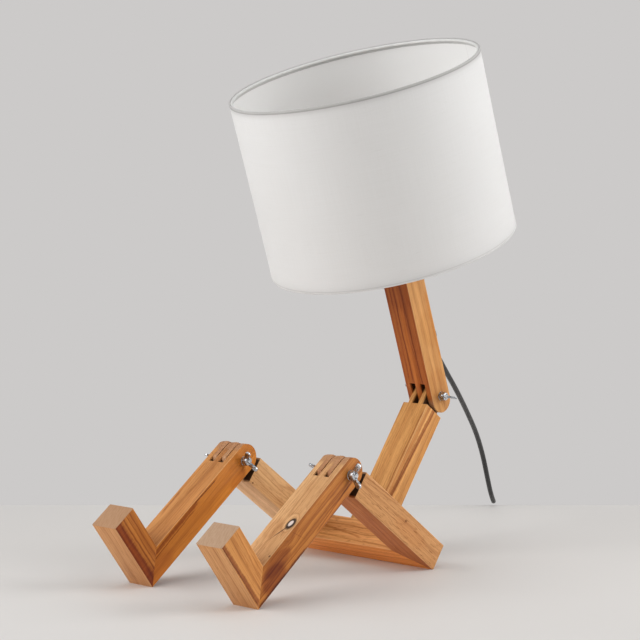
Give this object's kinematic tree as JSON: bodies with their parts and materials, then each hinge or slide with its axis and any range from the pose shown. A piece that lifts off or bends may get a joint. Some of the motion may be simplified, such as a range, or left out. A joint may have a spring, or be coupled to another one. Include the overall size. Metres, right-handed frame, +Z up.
{
  "type": "table lamp",
  "caption": "Seated figure of square wooden beams with finger hinges at the knees and neck, a drum shade for a head and a switched flex.",
  "frame": {"origin": "on the table, at the middle of the crossbar's lower rear edge", "axes": "+Z up, -Y towards the toes, +X across the lamp towards the side of the wing nuts"},
  "size_m": [0.4303, 0.8119, 0.5696],
  "materials": {
    "wood": "satin, clear oiled",
    "dowel_wood": "bare",
    "zinc_steel": "bright zinc plate",
    "shade_cloth": "fine plain weave on a stiff liner",
    "white_wire": "white powder coat",
    "bulb_glass": "frosted",
    "bare_aluminium": "drawn",
    "brass": "bare",
    "white_ceramic": "glazed",
    "black_plastic": "moulded, fine spark finish",
    "rocker_plastic": "gloss",
    "black_flex": "round flex, satin sheath",
    "black_rubber": "moulded",
    "pin_metal": "nickel plate"
  },
  "bodies": {
    "frame": {"crossbar": "wood", "left_thigh": "wood", "right_thigh": "wood", "torso": "wood", "hip_dowels": "dowel_wood", "torso_dowels": "dowel_wood", "cord_lead": "black_flex", "cord_coil": "black_flex", "switch_base": "black_plastic", "switch_cover": "black_plastic", "switch_screws": "zinc_steel", "plug_body": "black_plastic", "plug_pins": "pin_metal"},
    "left_leg": {"left_shin": "wood", "left_foot": "wood", "left_foot_dowels": "dowel_wood", "left_knee_screw": "zinc_steel", "left_knee_washers": "zinc_steel"},
    "right_leg": {"right_shin": "wood", "right_foot": "wood", "right_foot_dowels": "dowel_wood", "right_knee_screw": "zinc_steel", "right_knee_washers": "zinc_steel"},
    "head": {"neck": "wood", "neck_screw": "zinc_steel", "neck_washers": "zinc_steel", "cord_gland": "black_rubber", "neck_flex": "black_flex", "holder_nipple": "zinc_steel", "holder_cap": "black_plastic", "holder_core": "white_ceramic", "holder_body": "black_plastic", "holder_sleeve": "bare_aluminium", "holder_contact": "brass", "shade_ring_nuts": "black_plastic", "shade_carrier": "white_wire", "shade_top_ring": "white_wire", "shade_cover": "shade_cloth", "bulb_cap": "bare_aluminium", "bulb_glass": "bulb_glass"},
    "left_knee_wing_nut": {"left_knee_nut": "zinc_steel"},
    "right_knee_wing_nut": {"right_knee_nut": "zinc_steel"},
    "neck_wing_nut": {"neck_nut": "zinc_steel"},
    "rocker": {"switch_rocker": "rocker_plastic"}
  },
  "joints": [
    {"name": "left_knee", "type": "hinge", "parent": "frame", "child": "left_leg", "pos_m": [0.0755, -0.13104, 0.11524], "axis": [1, 0, 0], "range_deg": [-73, 28]},
    {"name": "right_knee", "type": "hinge", "parent": "frame", "child": "right_leg", "pos_m": [-0.0755, -0.13104, 0.11524], "axis": [1, 0, 0], "range_deg": [-73, 28]},
    {"name": "neck_tilt", "type": "hinge", "parent": "frame", "child": "head", "pos_m": [0, 0.10505, 0.17068], "axis": [1, 0, 0], "range_deg": [-70, 28], "deforming": ["cord_lead"]},
    {"name": "left_knee_wing_nut_turn", "type": "hinge", "parent": "left_leg", "child": "left_knee_wing_nut", "pos_m": [0.0755, -0.13104, 0.11524], "axis": [1, 0, 0], "continuous": true},
    {"name": "right_knee_wing_nut_turn", "type": "hinge", "parent": "right_leg", "child": "right_knee_wing_nut", "pos_m": [-0.0755, -0.13104, 0.11524], "axis": [1, 0, 0], "continuous": true},
    {"name": "neck_wing_nut_turn", "type": "hinge", "parent": "head", "child": "neck_wing_nut", "pos_m": [0, 0.10505, 0.17068], "axis": [1, 0, 0], "continuous": true},
    {"name": "rocker_press", "type": "hinge", "parent": "frame", "child": "rocker", "pos_m": [-0.1632, 0.43005, 0.0145], "axis": [0.7314, 0.682, 0], "range_deg": [0, 14]}
  ]
}
